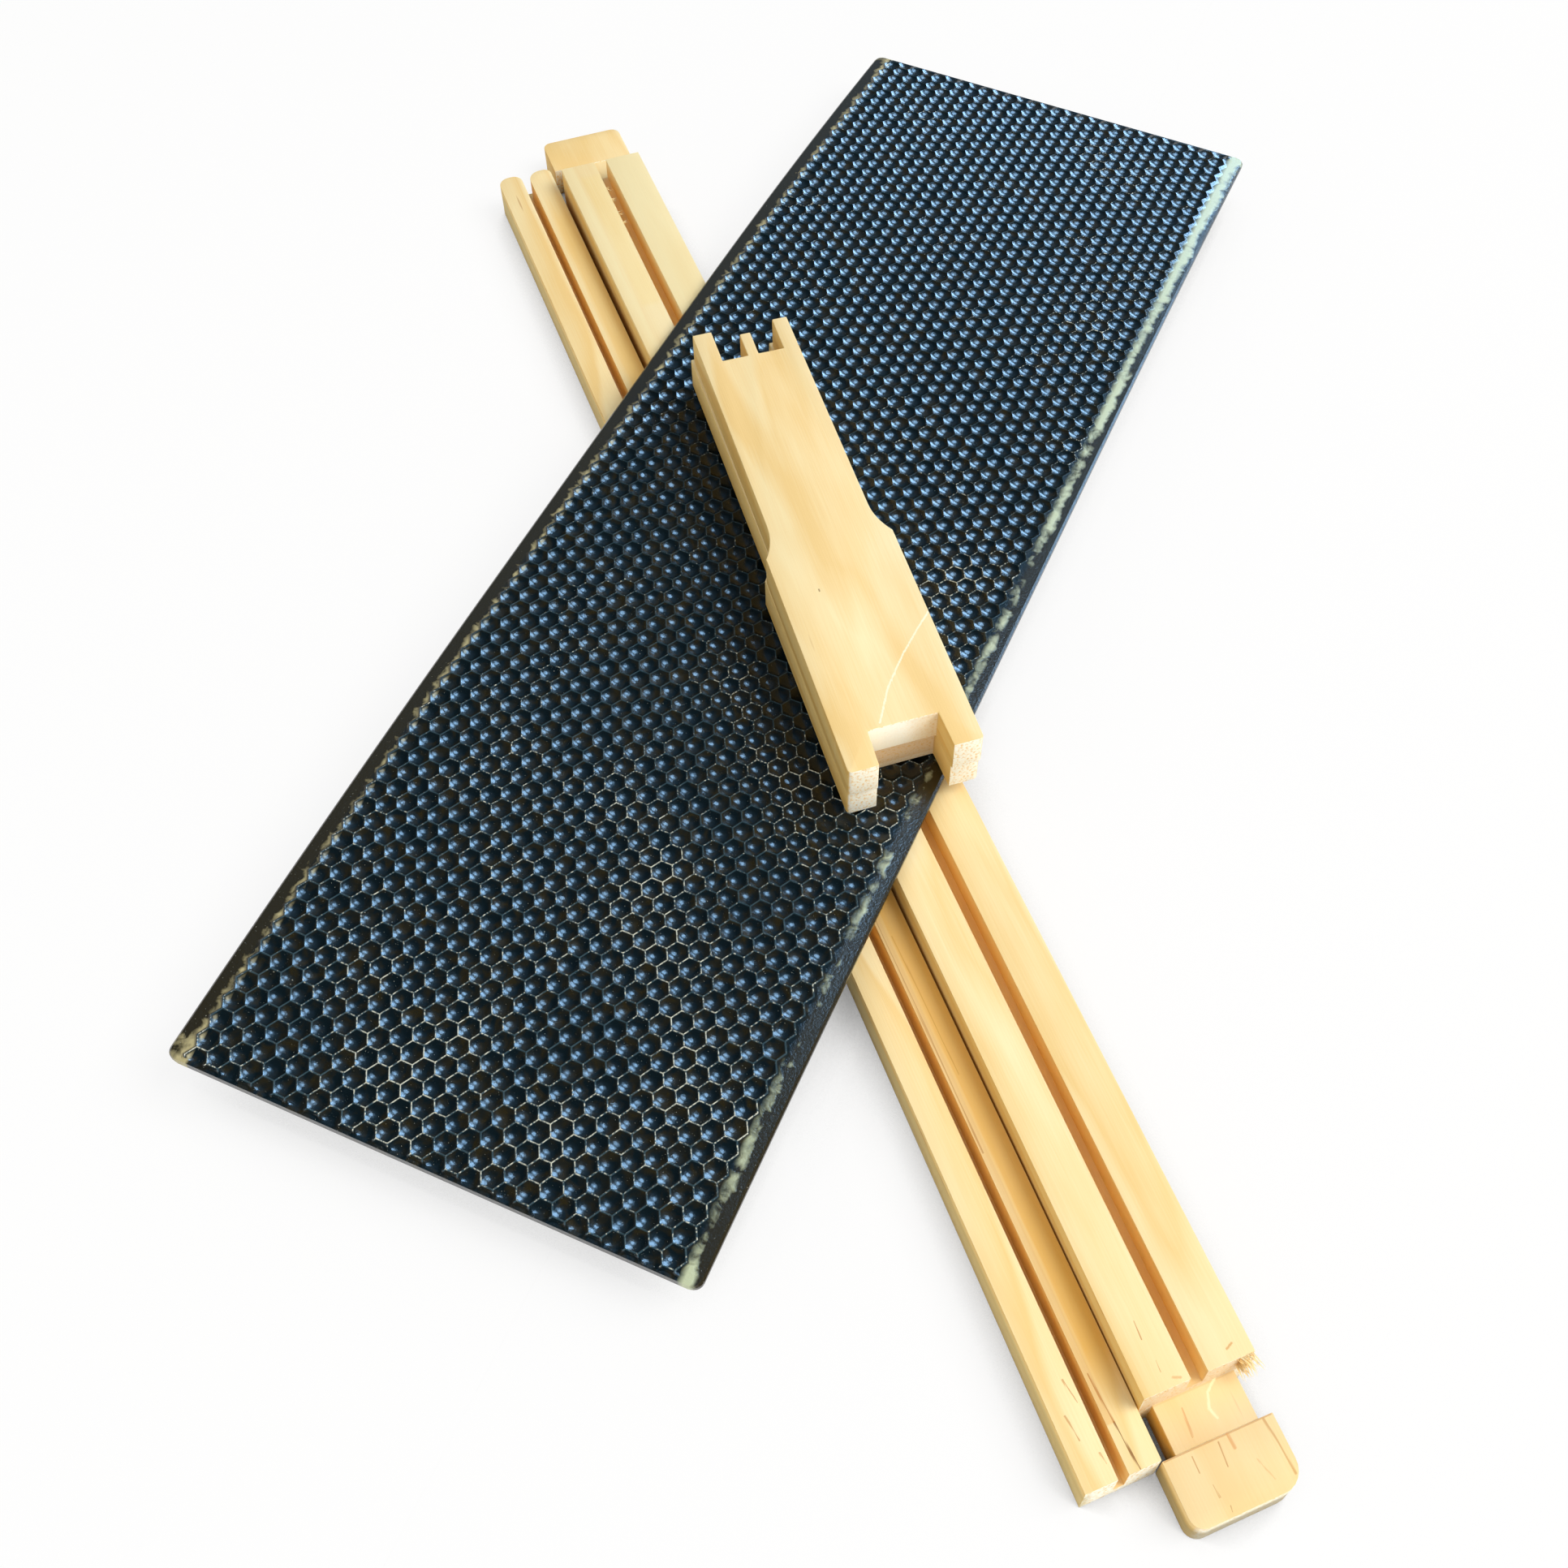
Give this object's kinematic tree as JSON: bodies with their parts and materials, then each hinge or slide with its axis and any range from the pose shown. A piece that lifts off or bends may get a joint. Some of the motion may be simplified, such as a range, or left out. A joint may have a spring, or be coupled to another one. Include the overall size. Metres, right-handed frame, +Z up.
{
  "type": "hive frame kit",
  "caption": "Unassembled wooden hive frame with black plastic foundation: grooved top and bottom bars side by side, the sheet laid across them, and forked, notched end bars stacked on it.",
  "frame": {"origin": "middle of the kit's footprint, on the table that it lies on", "axes": "+Y along the top bar towards its far lug, +X across the bars away from the bottom bar, +Z up"},
  "size_m": [0.3986, 0.4826, 0.0452],
  "materials": {
    "pine": "planed bare pine with fine brown grain",
    "clear_pine": "smooth bare close-grained softwood",
    "waxed_black_plastic": "glossy black plastic with a thin coat of beeswax"
  },
  "bodies": {
    "top_bar": {"top_bar": "pine"},
    "bottom_bar": {"bottom_bar": "pine"},
    "foundation_sheet": {"foundation_sheet": "waxed_black_plastic"},
    "lower_end_bar": {"lower_end_bar": "clear_pine"},
    "upper_end_bar": {"upper_end_bar": "clear_pine"}
  },
  "joints": [
    {"name": "bottom_bar_pull", "type": "slide", "parent": "top_bar", "child": "bottom_bar", "axis": [-1, 0, 0], "range_m": [0, 0.18]},
    {"name": "sheet_lift", "type": "slide", "parent": "top_bar", "child": "foundation_sheet", "axis": [0, 0, 1], "range_m": [0, 0.1]},
    {"name": "lower_end_bar_lift", "type": "slide", "parent": "foundation_sheet", "child": "lower_end_bar", "axis": [0, 0, 1], "range_m": [0, 0.06]},
    {"name": "upper_end_bar_lift", "type": "slide", "parent": "lower_end_bar", "child": "upper_end_bar", "axis": [0, 0, 1], "range_m": [0, 0.06]}
  ]
}
